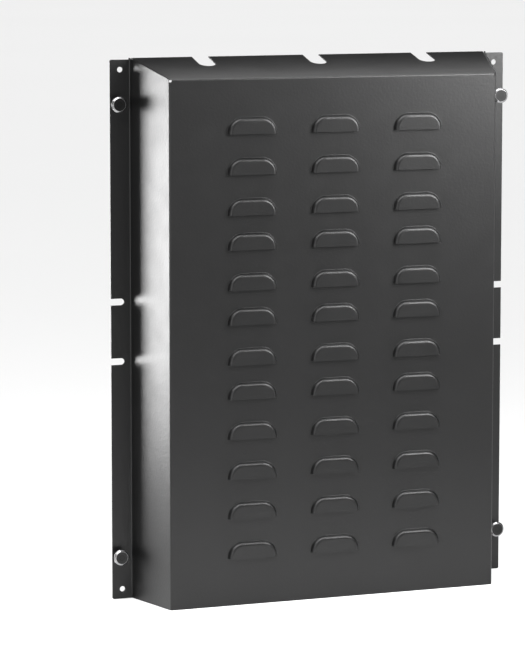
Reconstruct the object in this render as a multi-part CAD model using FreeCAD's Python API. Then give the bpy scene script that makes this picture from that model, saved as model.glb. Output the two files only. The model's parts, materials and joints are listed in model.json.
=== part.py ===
import FreeCAD, Part
import math
import os
from FreeCAD import Vector

# Extended rear panel: one folded steel sheet with pressed louvres, held on by
# four captive thumb screws.  Millimetres, +Z up.
# X runs to the right as seen from outside, Y runs from outside towards the
# frame that carries the panel.  Origin: centre of the corner-hole pattern, on
# the back face of the flanges (Y = 0).

# ---------------------------------------------------------------- dimensions
T = 1.2                    # sheet thickness
BEND_IN = 1.6              # inside bend radius
BEND_OUT = BEND_IN + T     # outside bend radius

FLANGE_HALF_W = 270.0      # outer edge of the flanges
BEND_X = 243.6             # flange to wall bend line (theoretical corner)
FACE_HALF_W = 220.5        # wall to face bend line (theoretical corner)
HALF_H = 344.3             # flanges and the lower edge of face and walls
PAN_DEPTH = 88.5           # flange back to outer face
FACE_TOP = 322.8           # face to sloped top bend line
TOP_RISE = 23.5            # rise of the sloped top over the pan's depth
SEAM = 1.1                 # open seam between the top and the side walls
CORNER_R = 2.2             # flange outer corners
RELIEF_R = 2.0             # bend relief at the two upper face corners

HOLE_R = 3.5               # plain corner holes in the flanges
HOLE_X = 256.7
HOLE_Z = 331.8

NOTCH_W = 8.5              # open notches in the flange edges
NOTCH_DEPTH = 17.4
NOTCH_Z = 38.1

TOP_NOTCH_W = 22.0         # cable notches in the sloped top
TOP_NOTCH_DEPTH = 39.0
TOP_NOTCH_X = (-150.0, 0.0, 150.0)

LOUVRE_W = 66.6            # pressed louvres, open along the lower edge
LOUVRE_H = 21.6
LOUVRE_R = 20.0            # upper corners, seen from the front
LOUVRE_RISE = 5.8
LOUVRE_SHOULDER = 4.6      # outside radius of the front shoulder
LOUVRE_ROOT = 0.8          # outside radius at the foot
LOUVRE_SLOPE = 68.0        # steepness of the rim, degrees
LOUVRE_X = (-112.0, 0.0, 112.0)
LOUVRE_Z = (253.6, 202.8, 152.0, 108.4, 57.6, 14.0,
            -36.8, -80.4, -131.2, -182.0, -232.8, -283.6)

SCREW_X = 261.5            # thumb screws
SCREW_Z = 288.5
SCREW_HOLE_R = 3.0
SHANK_R = 2.5              # major radius of the threaded end
NECK_R = 2.3               # plain neck between the collar and the groove
LEAD = 0.4                 # chamfer where the thread starts
COLLAR_R = 5.0
COLLAR_LEN = 9.0
HEAD_R = 10.0
HEAD_THICK = 4.5
HEAD_FLAT_R = 8.1
SHANK_END = 14.0           # free end behind the flange
KNURLS = 54
KNURL_DEPTH = 0.42

WASHER_R = 6.5
WASHER_BORE_R = 2.57
WASHER_T = 1.0

GROOVE_R = 1.8             # groove that seats the retaining ring
GROOVE_Y = 6.9
GROOVE_W = 1.0
RING_R = 4.9
RING_T = 0.8

os.makedirs("parts", exist_ok=True)


# ------------------------------------------------------------------- helpers
def rounded(points, radii):
    """Edges of an open path through points, each inner corner an arc."""
    edges = []
    start = points[0]
    for i in range(1, len(points) - 1):
        p = points[i]
        u = p.sub(points[i - 1]).normalize()
        w = points[i + 1].sub(p).normalize()
        turn = u.getAngle(w)
        r = radii[i]
        if r <= 0 or turn < 1e-6:
            edges.append(Part.LineSegment(start, p).toShape())
            start = p
            continue
        d = r * math.tan(turn / 2)
        a = p.sub(u * d)
        b = p.add(w * d)
        inward = w.sub(u).normalize()
        centre = p.add(inward * (r / math.cos(turn / 2)))
        mid = centre.sub(inward * r)
        if a.sub(start).Length > 1e-6:
            edges.append(Part.LineSegment(start, a).toShape())
        edges.append(Part.Arc(a, mid, b).toShape())
        start = b
    edges.append(Part.LineSegment(start, points[-1]).toShape())
    return edges


def strip(outer, inner, radii_outer, radii_inner):
    """Closed face between two rounded paths that run side by side."""
    e1 = rounded(outer, radii_outer)
    e2 = rounded(inner, radii_inner)
    ends = [Part.LineSegment(outer[-1], inner[-1]).toShape(),
            Part.LineSegment(outer[0], inner[0]).toShape()]
    wire = Part.Wire(Part.__sortEdges__(e1 + e2 + ends))
    return Part.Face(wire)


def poly_face(points):
    return Part.Face(Part.makePolygon(list(points) + [points[0]]))


# --------------------------------------------------------- folded sheet body
wall_run = PAN_DEPTH - T                       # depth between the two bends
wall_slope = (BEND_X - FACE_HALF_W) / wall_run
wall_cos = 1.0 / math.sqrt(1.0 + wall_slope ** 2)


def wall_x(y, inset=0.0):
    """Half width of the pan at depth y, measured to the wall's outer side."""
    return FACE_HALF_W + (y + PAN_DEPTH) * wall_slope - inset / wall_cos


def section_points(inset):
    yf = -T + inset
    yp = -PAN_DEPTH + inset
    return [Vector(-FLANGE_HALF_W, yf, 0), Vector(-wall_x(yf, inset), yf, 0),
            Vector(-wall_x(yp, inset), yp, 0), Vector(wall_x(yp, inset), yp, 0),
            Vector(wall_x(yf, inset), yf, 0), Vector(FLANGE_HALF_W, yf, 0)]


section = strip(section_points(0.0), section_points(T),
                [0, BEND_IN, BEND_OUT, BEND_OUT, BEND_IN, 0],
                [0, BEND_OUT, BEND_IN, BEND_IN, BEND_OUT, 0])
section.translate(Vector(0, 0, -HALF_H))
hat = section.extrude(Vector(0, 0, 2 * HALF_H + 30))

# sloped top: outer line starts at the face's upper bend line
top_ang = math.atan2(TOP_RISE, PAN_DEPTH)
top_dir = Vector(0, math.cos(top_ang), math.sin(top_ang))
top_in = Vector(0, math.sin(top_ang), -math.cos(top_ang))
top_corner = Vector(0, -PAN_DEPTH, FACE_TOP)


def top_z(y):
    return FACE_TOP + (y + PAN_DEPTH) * math.tan(top_ang)


# walls and face end on the plane of the top's outer side
over = poly_face([Vector(0, -PAN_DEPTH - 20, top_z(-PAN_DEPTH - 20)),
                  Vector(0, 10, top_z(10)), Vector(0, 10, 420),
                  Vector(0, -PAN_DEPTH - 20, 420)])
over.translate(Vector(-300, 0, 0))
hat = hat.cut(over.extrude(Vector(600, 0, 0)))

# flanges end a little lower than the walls
bend_clear = BEND_X + 1.4
hat = hat.cut([Part.makeBox(60, 20, 60, Vector(bend_clear, -6, HALF_H)),
               Part.makeBox(60, 20, 60, Vector(-bend_clear - 60, -6, HALF_H))])

# strip of the face that gives way to the top bend
Z_SPLIT = 320.0


def pan_prism(inset, y0, y1, z0, z1):
    f = poly_face([Vector(-wall_x(y0, inset), y0, z0), Vector(wall_x(y0, inset), y0, z0),
                   Vector(wall_x(y1, inset), y1, z0), Vector(-wall_x(y1, inset), y1, z0)])
    return f.extrude(Vector(0, 0, z1 - z0))


hat = hat.cut(pan_prism(T, -PAN_DEPTH - 5, -PAN_DEPTH + 6, Z_SPLIT, Z_SPLIT + 30))

top_end = top_corner.add(top_dir * (PAN_DEPTH / math.cos(top_ang) - 0.4))
s_in = (T - T * math.sin(top_ang)) / math.cos(top_ang)
inner_corner = top_corner.add(top_in * T).add(top_dir * s_in)
fold = strip([Vector(0, -PAN_DEPTH, Z_SPLIT), top_corner, top_end],
             [Vector(0, -PAN_DEPTH + T, Z_SPLIT), inner_corner, top_end.add(top_in * T)],
             [0, BEND_OUT, 0], [0, BEND_IN, 0])
fold.translate(Vector(-300, 0, 0))
fold = fold.extrude(Vector(600, 0, 0))
fold = fold.common(pan_prism(T + SEAM, -PAN_DEPTH - 5, 5, 250, 420))

panel = hat.fuse(fold).removeSplitter()

# ------------------------------------------------------- holes and notches
cuts = []
for sx in (-1, 1):
    relief_dir = Vector(sx * 0.62, -0.62, 0.48)
    apex = Vector(sx * (FACE_HALF_W - 0.6), -PAN_DEPTH + 0.6, FACE_TOP - 0.6)
    cuts.append(Part.makeCylinder(RELIEF_R, 16, apex.sub(relief_dir * 8.0), relief_dir))
    for sz in (-1, 1):
        cuts.append(Part.makeCylinder(HOLE_R, 10, Vector(sx * HOLE_X, -6, sz * HOLE_Z),
                                      Vector(0, 1, 0)))
        cuts.append(Part.makeCylinder(SCREW_HOLE_R, 10, Vector(sx * SCREW_X, -6, sz * SCREW_Z),
                                      Vector(0, 1, 0)))
        xe = FLANGE_HALF_W - NOTCH_DEPTH + NOTCH_W / 2
        cuts.append(Part.makeCylinder(NOTCH_W / 2, 10, Vector(sx * xe, -6, sz * NOTCH_Z),
                                      Vector(0, 1, 0)))
        x0 = min(sx * xe, sx * (FLANGE_HALF_W + 5))
        cuts.append(Part.makeBox(FLANGE_HALF_W + 5 - xe, 10, NOTCH_W,
                                 Vector(x0, -6, sz * NOTCH_Z - NOTCH_W / 2)))
        # rounded outer corner of the flange
        cx = sx * (FLANGE_HALF_W - CORNER_R)
        cz = sz * (HALF_H - CORNER_R)
        block = Part.makeBox(CORNER_R + 1, 10, CORNER_R + 1,
                             Vector(min(cx, cx + sx * (CORNER_R + 1)), -6,
                                    min(cz, cz + sz * (CORNER_R + 1))))
        cuts.append(block.cut(Part.makeCylinder(CORNER_R, 14, Vector(cx, -8, cz), Vector(0, 1, 0))))
panel = panel.cut(cuts)

up = top_in * -1.0
for x in TOP_NOTCH_X:
    end = Vector(x, 0, top_z(0))
    centre = end.sub(top_dir * (TOP_NOTCH_DEPTH - TOP_NOTCH_W / 2))
    round_end = Part.makeCylinder(TOP_NOTCH_W / 2, 20, centre.sub(up * 10), up)
    a = centre.add(Vector(-TOP_NOTCH_W / 2, 0, 0)).sub(up * 10)
    b = centre.add(Vector(TOP_NOTCH_W / 2, 0, 0)).sub(up * 10)
    reach = top_dir * (TOP_NOTCH_DEPTH + 10)
    slot = poly_face([a, b, b.add(reach), a.add(reach)]).extrude(up * 20)
    panel = panel.cut([round_end, slot])


# -------------------------------------------------------------- louvre press
th = math.radians(LOUVRE_SLOPE)
drop_arcs = (LOUVRE_SHOULDER + LOUVRE_ROOT) * (1 - math.cos(th))
slant = (LOUVRE_RISE - drop_arcs) / math.sin(th)
rim_w = (LOUVRE_SHOULDER + LOUVRE_ROOT) * math.sin(th) + slant * math.cos(th)
flat_r = LOUVRE_R - rim_w


def rim_edges(offset):
    """Rim curve from the foot to the flat, as (radius, height) arcs and a slant."""
    rc = LOUVRE_SHOULDER - offset
    rr = LOUVRE_ROOT + offset
    fc = (LOUVRE_R, LOUVRE_ROOT)                       # centre of the foot's arc
    sc = (flat_r, LOUVRE_RISE - LOUVRE_SHOULDER)       # centre of the shoulder's arc

    def foot(a):
        return Vector(fc[0] - rr * math.sin(a), 0, fc[1] - rr * math.cos(a))

    def shoulder(a):
        return Vector(sc[0] + rc * math.sin(a), 0, sc[1] + rc * math.cos(a))

    return [Part.Arc(foot(0), foot(th / 2), foot(th)).toShape(),
            Part.LineSegment(foot(th), shoulder(th)).toShape(),
            Part.Arc(shoulder(th), shoulder(th / 2), shoulder(0)).toShape()], foot(0), shoulder(0)


def press_solid(offset, base, below):
    """D-shaped raised form; offset moves the skin inwards, base is its foot."""
    edges, foot, crest = rim_edges(offset)
    p0 = Vector(0, 0, base)
    p1 = Vector(LOUVRE_R, 0, base)
    p2 = Vector(0, 0, crest.z)
    edges = [Part.LineSegment(p0, p1).toShape(), Part.LineSegment(p1, foot).toShape()] + edges + \
            [Part.LineSegment(crest, p2).toShape(), Part.LineSegment(p2, p0).toShape()]
    prof = Part.Face(Part.Wire(Part.__sortEdges__(edges)))
    c = LOUVRE_W / 2 - LOUVRE_R
    zc = LOUVRE_H - LOUVRE_R
    # local frame: x across, y up the face, z outwards from the face
    prof_r = prof.copy()
    prof_r.translate(Vector(c, zc, 0))
    corner_r = prof_r.revolve(Vector(c, zc, 0), Vector(0, 0, 1), 90)
    side_r = prof_r.extrude(Vector(0, -(zc + below), 0))
    prof_t = prof.copy()
    prof_t.rotate(Vector(0, 0, 0), Vector(0, 0, 1), 90)
    prof_t.translate(Vector(-c, zc, 0))
    ridge = prof_t.extrude(Vector(2 * c, 0, 0))
    core = Part.makeBox(2 * c, zc + below, crest.z - base, Vector(-c, -below, base))
    mirror = Vector(1, 0, 0)
    corner_l = corner_r.mirror(Vector(0, 0, 0), mirror)
    side_l = side_r.mirror(Vector(0, 0, 0), mirror)
    body = core.fuse([corner_r, corner_l, side_r, side_l, ridge]).removeSplitter()
    # stand it up: local y becomes Z, local z becomes -Y
    body.rotate(Vector(0, 0, 0), Vector(1, 0, 0), 90)
    return body


hood = press_solid(0.0, -T / 2, 0.0)
hollow = press_solid(T, -T - 0.6, 0.0)
hoods, hollows = [], []
for z in LOUVRE_Z:
    for x in LOUVRE_X:
        at = Vector(x, -PAN_DEPTH, z)
        h = hood.copy()
        h.translate(at)
        hoods.append(h)
        v = hollow.copy()
        v.translate(at)
        hollows.append(v)
panel = panel.fuse(hoods)
panel = panel.cut(hollows).removeSplitter()
panel = panel.Solids[0] if len(panel.Solids) == 1 else panel
print("rear_panel", panel.ShapeType, len(panel.Solids), panel.isValid(), round(panel.Volume))
panel.exportStep("parts/rear_panel.step")


# -------------------------------------------------------------- thumb screws
def turned(points, radii):
    """Solid of revolution about Y from a closed (radius, y) outline."""
    pts = [Vector(r, y, 0) for r, y in points]
    edges = rounded(pts, radii)
    edges.append(Part.LineSegment(pts[-1], pts[0]).toShape())
    face = Part.Face(Part.Wire(Part.__sortEdges__(edges)))
    return face.revolve(Vector(0, 0, 0), Vector(0, 1, 0), 360)


y_seat = -T - WASHER_T                 # underside of the collar
y_head = y_seat - COLLAR_LEN           # back of the head
y_front = y_head - HEAD_THICK
screw = turned(
    [(0, y_front), (HEAD_FLAT_R, y_front), (HEAD_R, y_front + 1.6), (HEAD_R, y_head - 0.6),
     (HEAD_R - 0.6, y_head), (COLLAR_R, y_head), (COLLAR_R, y_seat - 0.4), (COLLAR_R - 0.4, y_seat),
     (NECK_R, y_seat), (NECK_R, GROOVE_Y), (GROOVE_R, GROOVE_Y), (GROOVE_R, GROOVE_Y + GROOVE_W),
     (SHANK_R - LEAD, GROOVE_Y + GROOVE_W), (SHANK_R, GROOVE_Y + GROOVE_W + LEAD),
     (SHANK_R, SHANK_END - 0.8), (SHANK_R - 0.8, SHANK_END), (0, SHANK_END)],
    [0, 0.5, 0.4, 0.2, 0.2, 1.2, 0.1, 0.1, 0, 0, 0, 0, 0, 0, 0, 0, 0])
tooth = poly_face([Vector(HEAD_R - KNURL_DEPTH, y_front + 0.4, 0),
                   Vector(HEAD_R + 0.4, y_front + 0.4, -KNURL_DEPTH - 0.4),
                   Vector(HEAD_R + 0.4, y_front + 0.4, KNURL_DEPTH + 0.4)])
tooth = tooth.extrude(Vector(0, HEAD_THICK, 0))
teeth = []
for k in range(KNURLS):
    t = tooth.copy()
    t.rotate(Vector(0, 0, 0), Vector(0, 1, 0), 360.0 * k / KNURLS)
    teeth.append(t)
screw = screw.cut(teeth)

washer = turned(
    [(WASHER_BORE_R, -T), (WASHER_BORE_R, y_seat), (WASHER_R, y_seat), (WASHER_R, -T)],
    [0, 0, 0.3, 0])

# retaining ring: open ring with three pads that sit in the groove
ring = Part.makeCylinder(RING_R, RING_T).cut(Part.makeCylinder(RING_R - 1.4, RING_T))
pads = []
for a in (90, 205, 335):
    pad = Part.makeBox(RING_R - 0.6 - GROOVE_R + 0.05, 1.7, RING_T, Vector(GROOVE_R - 0.05, -0.85, 0))
    pad.rotate(Vector(0, 0, 0), Vector(0, 0, 1), a)
    pads.append(pad)
ring = ring.fuse(pads).cut(Part.makeCylinder(GROOVE_R + 0.04, RING_T))
mouth = Part.makeBox(4.0, RING_R + 2, RING_T, Vector(-2.0, -RING_R - 2, 0))
ring = ring.cut(mouth).removeSplitter()
ring.rotate(Vector(0, 0, 0), Vector(1, 0, 0), -90)
ring.translate(Vector(0, GROOVE_Y + (GROOVE_W - RING_T) / 2, 0))

for sx, side in ((-1, "left"), (1, "right")):
    for sz, level in ((1, "top"), (-1, "bottom")):
        at = Vector(sx * SCREW_X, 0, sz * SCREW_Z)
        for shape, name in ((screw, "thumb_screw"), (washer, "screw_washer"), (ring, "retaining_ring")):
            piece = shape.copy()
            piece.translate(at)
            piece = piece.Solids[0]
            piece.exportStep("parts/%s_%s_%s.step" % (name, level, side))
for shape, name in ((screw, "thumb_screw"), (washer, "screw_washer"), (ring, "retaining_ring")):
    b = shape.BoundBox
    print(name, shape.isValid(), len(shape.Solids), round(shape.Volume, 1), round(b.YMin, 3), round(b.YMax, 3))
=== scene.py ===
import json
import math

import bmesh
import bpy
from mathutils import Matrix, Vector

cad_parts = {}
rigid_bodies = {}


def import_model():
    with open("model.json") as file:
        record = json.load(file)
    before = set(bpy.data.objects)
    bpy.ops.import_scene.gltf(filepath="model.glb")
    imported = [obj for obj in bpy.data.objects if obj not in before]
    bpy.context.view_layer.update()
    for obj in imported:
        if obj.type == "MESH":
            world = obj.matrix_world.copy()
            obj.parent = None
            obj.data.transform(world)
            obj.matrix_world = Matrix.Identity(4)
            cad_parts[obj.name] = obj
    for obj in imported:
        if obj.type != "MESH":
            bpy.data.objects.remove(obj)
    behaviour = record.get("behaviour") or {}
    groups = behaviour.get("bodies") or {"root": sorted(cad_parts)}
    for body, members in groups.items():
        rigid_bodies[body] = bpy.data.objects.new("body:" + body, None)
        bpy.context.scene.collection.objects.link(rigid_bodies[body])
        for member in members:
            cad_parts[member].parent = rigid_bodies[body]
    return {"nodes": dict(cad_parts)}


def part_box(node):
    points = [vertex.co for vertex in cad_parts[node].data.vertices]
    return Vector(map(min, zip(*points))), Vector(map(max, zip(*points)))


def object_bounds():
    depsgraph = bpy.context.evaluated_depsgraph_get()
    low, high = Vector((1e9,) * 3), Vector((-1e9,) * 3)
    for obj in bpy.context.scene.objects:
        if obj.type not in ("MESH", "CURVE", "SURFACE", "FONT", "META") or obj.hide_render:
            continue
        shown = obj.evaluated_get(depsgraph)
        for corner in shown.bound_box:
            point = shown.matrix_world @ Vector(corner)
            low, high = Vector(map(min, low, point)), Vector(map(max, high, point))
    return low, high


for old in list(bpy.data.objects):
    bpy.data.objects.remove(old)

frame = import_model()
cad_box = [list(c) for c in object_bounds()]
nodes = frame["nodes"]
scene = bpy.context.scene
FLOOR_Z = cad_box[0][2]
CORNERS = ("top_left", "top_right", "bottom_left", "bottom_right")


# ------------------------------------------------------------------- materials
class Graph:
    """Small helper around one material's node tree."""

    def __init__(self, name):
        self.mat = bpy.data.materials.new(name)
        self.mat.use_nodes = True
        self.tree = self.mat.node_tree
        self.tree.nodes.clear()
        self.out = self.add("ShaderNodeOutputMaterial")
        self.bsdf = self.add("ShaderNodeBsdfPrincipled")
        self.link(self.bsdf, "BSDF", self.out, "Surface")
        self.coord = self.add("ShaderNodeTexCoord")

    def add(self, kind, **values):
        n = self.tree.nodes.new(kind)
        for k, v in values.items():
            if hasattr(n, k):
                setattr(n, k, v)
            else:
                n.inputs[k.replace("_", " ")].default_value = v
        return n

    def link(self, a, so, b, si):
        self.tree.links.new(a.outputs[so], b.inputs[si])

    def mapping(self, location=(0, 0, 0), scale=(1, 1, 1), rotation=(0, 0, 0)):
        m = self.add("ShaderNodeMapping")
        m.inputs["Location"].default_value = location
        m.inputs["Scale"].default_value = scale
        m.inputs["Rotation"].default_value = rotation
        self.link(self.coord, "Object", m, "Vector")
        return m

    def noise(self, scale, detail=2.0, roughness=0.5, source=None):
        n = self.add("ShaderNodeTexNoise")
        n.inputs["Scale"].default_value = scale
        n.inputs["Detail"].default_value = detail
        n.inputs["Roughness"].default_value = roughness
        if source is None:
            self.link(self.coord, "Object", n, "Vector")
        else:
            self.link(source, "Vector", n, "Vector")
        return n

    def ramp(self, source, output, stops):
        r = self.add("ShaderNodeValToRGB")
        els = r.color_ramp.elements
        while len(els) < len(stops):
            els.new(0.5)
        for e, (pos, col) in zip(els, stops):
            e.position = pos
            e.color = (*col, 1.0) if len(col) == 3 else col
        self.tree.links.new(source.outputs[output], r.inputs["Fac"])
        return r

    def range(self, source, output, lo, hi, to_lo, to_hi):
        r = self.add("ShaderNodeMapRange")
        r.inputs["From Min"].default_value = lo
        r.inputs["From Max"].default_value = hi
        r.inputs["To Min"].default_value = to_lo
        r.inputs["To Max"].default_value = to_hi
        self.tree.links.new(source.outputs[output], r.inputs["Value"])
        return r

    def bump(self, source, output, distance, strength=1.0, after=None):
        b = self.add("ShaderNodeBump")
        b.inputs["Distance"].default_value = distance
        b.inputs["Strength"].default_value = strength
        self.tree.links.new(source.outputs[output], b.inputs["Height"])
        if after is not None:
            self.link(after, "Normal", b, "Normal")
        return b


def powder_coat():
    g = Graph("powder_coat_satin_black")
    # slow drift of tone over the sheet, and a fine fleck of the cured powder
    drift = g.noise(5.0, 3.0, 0.55)
    tone = g.ramp(drift, "Fac", [(0.30, (0.0030, 0.0030, 0.0031)), (0.70, (0.0044, 0.0044, 0.0045))])
    g.link(tone, "Color", g.bsdf, "Base Color")
    sheen = g.noise(34.0, 4.0, 0.6)
    rough = g.range(sheen, "Fac", 0.3, 0.7, 0.355, 0.405)
    g.link(rough, "Result", g.bsdf, "Roughness")
    # orange peel: a soft swell and a finer skin on top of it
    swell = g.noise(330.0, 2.0, 0.45)
    skin = g.noise(1500.0, 2.0, 0.5)
    b1 = g.bump(swell, "Fac", 0.00011, 1.0)
    b2 = g.bump(skin, "Fac", 0.00003, 0.45, after=b1)
    g.link(b2, "Normal", g.bsdf, "Normal")
    g.bsdf.inputs["IOR"].default_value = 1.43
    return g.mat


def screw_finish(name, x, z, y_front):
    """Turned screw: black nickel, with a dull near-black disc on the head's front as painted dark
    reflection, M5 thread on the shank.
    """
    g = Graph("black_nickel_" + name)
    m = g.mapping(location=(-x, 0.0, -z))
    sep = g.add("ShaderNodeSeparateXYZ")
    g.link(m, "Vector", sep, "Vector")
    flat = g.add("ShaderNodeCombineXYZ")
    g.link(sep, "X", flat, "X")
    g.link(sep, "Z", flat, "Y")
    radius = g.add("ShaderNodeVectorMath", operation="LENGTH")
    g.link(flat, "Vector", radius, 0)
    along = g.add("ShaderNodeCombineXYZ")
    g.link(radius, "Value", along, "X")
    g.link(sep, "Y", along, "Y")
    rings = g.noise(5200.0, 2.0, 0.6, source=along)
    grooves = g.noise(900.0, 1.0, 0.5, source=along)
    cloud = g.noise(260.0, 3.0, 0.55)
    # the painted dark disc: inside the rim, on the front only; a painted dark reflection on the
    # head's front
    inside = g.range(radius, "Value", 0.0076, 0.0079, 1.0, 0.0)
    ahead = g.range(sep, "Y", y_front + 0.0002, y_front + 0.0004, 1.0, 0.0)
    painted_dark_disc = g.add("ShaderNodeMath", operation="MULTIPLY")
    g.link(inside, "Result", painted_dark_disc, 0)
    g.link(ahead, "Result", painted_dark_disc, 1)
    nickel = g.ramp(cloud, "Fac", [(0.3, (0.240, 0.240, 0.243)), (0.7, (0.320, 0.320, 0.324))])
    # painted dark reflection: the front disc is coloured near black, darker than the nickel of the
    # rim
    black = g.ramp(grooves, "Fac", [(0.35, (0.018, 0.018, 0.018)), (0.65, (0.034, 0.034, 0.034))])
    tone = g.add("ShaderNodeMix", data_type="RGBA")
    g.link(painted_dark_disc, 0, tone, 0)
    g.link(nickel, "Color", tone, 6)
    g.link(black, "Color", tone, 7)
    g.link(tone, 2, g.bsdf, "Base Color")
    g.bsdf.inputs["Metallic"].default_value = 1.0
    bright = g.range(rings, "Fac", 0.3, 0.7, 0.18, 0.26)
    dull = g.range(rings, "Fac", 0.3, 0.7, 0.28, 0.36)
    rough = g.add("ShaderNodeMix", data_type="FLOAT")
    g.link(painted_dark_disc, 0, rough, 0)
    g.link(bright, "Result", rough, 2)
    g.link(dull, "Result", rough, 3)
    g.link(rough, 0, g.bsdf, "Roughness")
    # right-hand thread, 0.8 mm pitch, faded out before the neck and the tip
    around = g.add("ShaderNodeMath", operation="ARCTAN2")
    g.link(sep, "Z", around, 0)
    g.link(sep, "X", around, 1)
    climb = g.add("ShaderNodeMath", operation="MULTIPLY_ADD")
    climb.inputs[1].default_value = 0.0008 / (2 * math.pi)
    g.link(around, 0, climb, 0)
    g.link(sep, "Y", climb, 2)
    phase = g.add("ShaderNodeMath", operation="MULTIPLY")
    phase.inputs[1].default_value = 2 * math.pi / 0.0008
    g.link(climb, 0, phase, 0)
    crest = g.add("ShaderNodeMath", operation="SINE")
    g.link(phase, 0, crest, 0)
    start = g.range(sep, "Y", 0.0081, 0.0086, 0.0, 1.0)
    stop = g.range(sep, "Y", 0.0126, 0.0132, 1.0, 0.0)
    span = g.add("ShaderNodeMath", operation="MULTIPLY")
    g.link(start, "Result", span, 0)
    g.link(stop, "Result", span, 1)
    thread = g.add("ShaderNodeMath", operation="MULTIPLY")
    g.link(crest, 0, thread, 0)
    g.link(span, 0, thread, 1)
    b1 = g.bump(thread, 0, 0.00016, 1.0)
    b2 = g.bump(rings, "Fac", 0.000010, 0.5, after=b1)
    g.link(b2, "Normal", g.bsdf, "Normal")
    return g.mat


def nylon():
    g = Graph("black_nylon")
    cloud = g.noise(180.0, 3.0, 0.5)
    tone = g.ramp(cloud, "Fac", [(0.3, (0.015, 0.015, 0.015)), (0.7, (0.024, 0.024, 0.025))])
    g.link(tone, "Color", g.bsdf, "Base Color")
    skin = g.noise(3200.0, 2.0, 0.5)
    rough = g.range(skin, "Fac", 0.3, 0.7, 0.48, 0.60)
    g.link(rough, "Result", g.bsdf, "Roughness")
    b = g.bump(skin, "Fac", 0.00002, 0.5)
    g.link(b, "Normal", g.bsdf, "Normal")
    return g.mat


def spring_steel():
    g = Graph("spring_steel_oiled")
    cloud = g.noise(420.0, 4.0, 0.6)
    tone = g.ramp(cloud, "Fac", [(0.28, (0.16, 0.15, 0.145)), (0.72, (0.33, 0.32, 0.31))])
    g.link(tone, "Color", g.bsdf, "Base Color")
    g.bsdf.inputs["Metallic"].default_value = 1.0
    grain = g.noise(2600.0, 3.0, 0.6)
    rough = g.range(grain, "Fac", 0.3, 0.7, 0.26, 0.42)
    g.link(rough, "Result", g.bsdf, "Roughness")
    b = g.bump(grain, "Fac", 0.000012, 0.5)
    g.link(b, "Normal", g.bsdf, "Normal")
    return g.mat


def coat_with(obj, mat):
    for i in range(len(obj.material_slots)):
        obj.material_slots[i].material = mat
    if not obj.material_slots:
        obj.data.materials.append(mat)


coat_with(nodes["rear_panel"], powder_coat())
nylon_mat = nylon()
steel_mat = spring_steel()
for corner in CORNERS:
    lo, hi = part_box("thumb_screw_" + corner)
    mid = (lo + hi) / 2
    coat_with(nodes["thumb_screw_" + corner], screw_finish(corner, mid.x, mid.z, lo.y))
    coat_with(nodes["screw_washer_" + corner], nylon_mat)
    coat_with(nodes["retaining_ring_" + corner], steel_mat)


# ----------------------------------------------------------------------- stage
def floor():
    bm = bmesh.new()
    bmesh.ops.create_circle(bm, cap_ends=True, segments=96, radius=60.0)
    me = bpy.data.meshes.new("studio_floor")
    bm.to_mesh(me)
    bm.free()
    ob = bpy.data.objects.new("studio_floor", me)
    ob.location = (0, 0, FLOOR_Z - 0.0001)
    scene.collection.objects.link(ob)
    g = Graph("pale_floor")
    wide = g.noise(0.35, 2.0, 0.5)
    tone = g.ramp(wide, "Fac", [(0.3, (0.812, 0.812, 0.812)), (0.7, (0.822, 0.822, 0.822))])
    g.link(tone, "Color", g.bsdf, "Base Color")
    g.bsdf.inputs["Roughness"].default_value = 0.75
    g.bsdf.inputs["Specular IOR Level"].default_value = 0.12
    me.materials.append(g.mat)
    return ob


floor()


def softbox(name, centre, target, width, height, radiance, spread=180.0):
    data = bpy.data.lights.new(name, "AREA")
    data.shape = "RECTANGLE"
    data.size = width
    data.size_y = height
    data.energy = radiance * math.pi * width * height
    data.spread = math.radians(spread)
    ob = bpy.data.objects.new(name, data)
    ob.location = centre
    aim = Vector(target) - Vector(centre)
    ob.rotation_mode = "QUATERNION"
    ob.rotation_quaternion = aim.to_track_quat("-Z", "Y")
    ob.visible_camera = False
    scene.collection.objects.link(ob)
    return ob


softbox("box_left_back", (-0.892, 0.715, 0.030), (-0.232, -0.044, 0.088), 0.57, 0.625, 5.6, spread=90)
softbox("box_left_front", (-1.20, -1.33, 0.30), (-0.05, -0.09, 0.10), 1.3, 1.0, 1.05, spread=120)
softbox("box_right_front", (0.73, -0.76, 0.55), (0.24, -0.09, 0.30), 0.45, 0.5, 8.3, spread=100)
softbox("box_top", (0.60, -0.80, 1.05), (0.12, -0.09, 0.22), 0.30, 0.60, 8.0, spread=110)
softbox("box_back", (0.08, -0.045, 0.455), (0.08, -0.155, 0.289), 0.9, 0.15, 2.1, spread=150)
softbox("box_floor", (0.05, -0.42, 0.85), (0.05, -0.4201, -0.34), 1.3, 0.45, 1.35, spread=40)

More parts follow.
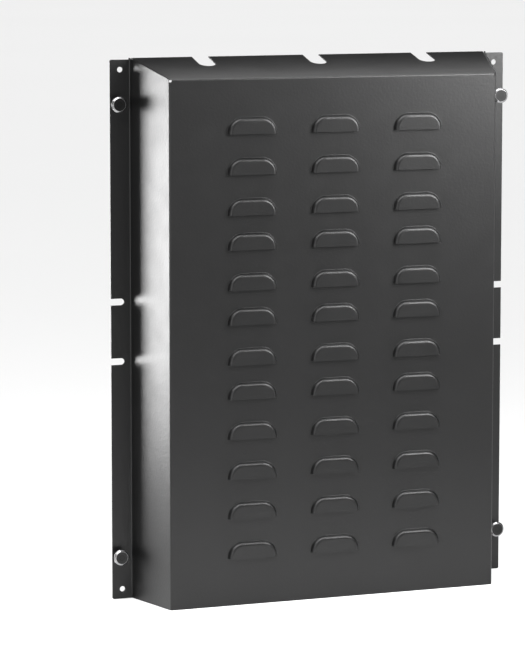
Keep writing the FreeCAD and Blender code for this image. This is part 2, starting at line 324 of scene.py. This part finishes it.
sun = bpy.data.lights.new("overhead", "SUN")
sun.energy = 3.75
sun.angle = math.radians(56)
sun_ob = bpy.data.objects.new("overhead", sun)
sun_ob.rotation_mode = "QUATERNION"
sun_ob.rotation_quaternion = Vector((0.40, 0.30, -1.0)).to_track_quat("-Z", "Y")
scene.collection.objects.link(sun_ob)

world = bpy.data.worlds.new("studio")
scene.world = world
world.use_nodes = True
wt = world.node_tree
wt.nodes.clear()
wout = wt.nodes.new("ShaderNodeOutputWorld")
wbg = wt.nodes.new("ShaderNodeBackground")
wco = wt.nodes.new("ShaderNodeTexCoord")
wsep = wt.nodes.new("ShaderNodeSeparateXYZ")
wramp = wt.nodes.new("ShaderNodeValToRGB")
wt.links.new(wco.outputs["Generated"], wsep.inputs["Vector"])
wt.links.new(wsep.outputs["Z"], wramp.inputs["Fac"])
wt.links.new(wramp.outputs["Color"], wbg.inputs["Color"])
wt.links.new(wbg.outputs["Background"], wout.inputs["Surface"])
stops = [(0.0, 0.13), (0.18, 0.09), (0.45, 0.05), (0.75, 0.06), (1.0, 0.07)]
els = wramp.color_ramp.elements
while len(els) < len(stops):
    els.new(0.5)
for e, (p, v) in zip(els, stops):
    e.position = p
    e.color = (v, v, v, 1.0)
wbg.inputs["Strength"].default_value = 1.0

scene.view_settings.view_transform = "Standard"
scene.view_settings.look = "None"

# ---------------------------------------------------------------------- camera
cam_data = bpy.data.cameras.new("camera")
cam_data.sensor_fit = "AUTO"
cam_data.sensor_width = 36.0
cam_data.lens = 172.74
cam_data.shift_y = -0.1
cam_data.clip_start = 0.05
cam_data.clip_end = 200.0
cam = bpy.data.objects.new("camera", cam_data)
yaw, pitch = math.radians(20.253), math.radians(6.735)
look = Vector((math.sin(yaw) * math.cos(pitch), math.cos(yaw) * math.cos(pitch), -math.sin(pitch)))
cam.location = (-1.4639, -3.7900, 0.5555)
cam.rotation_mode = "QUATERNION"
cam.rotation_quaternion = look.to_track_quat("-Z", "Y")
scene.collection.objects.link(cam)
scene.camera = cam

bpy.context.view_layer.update()
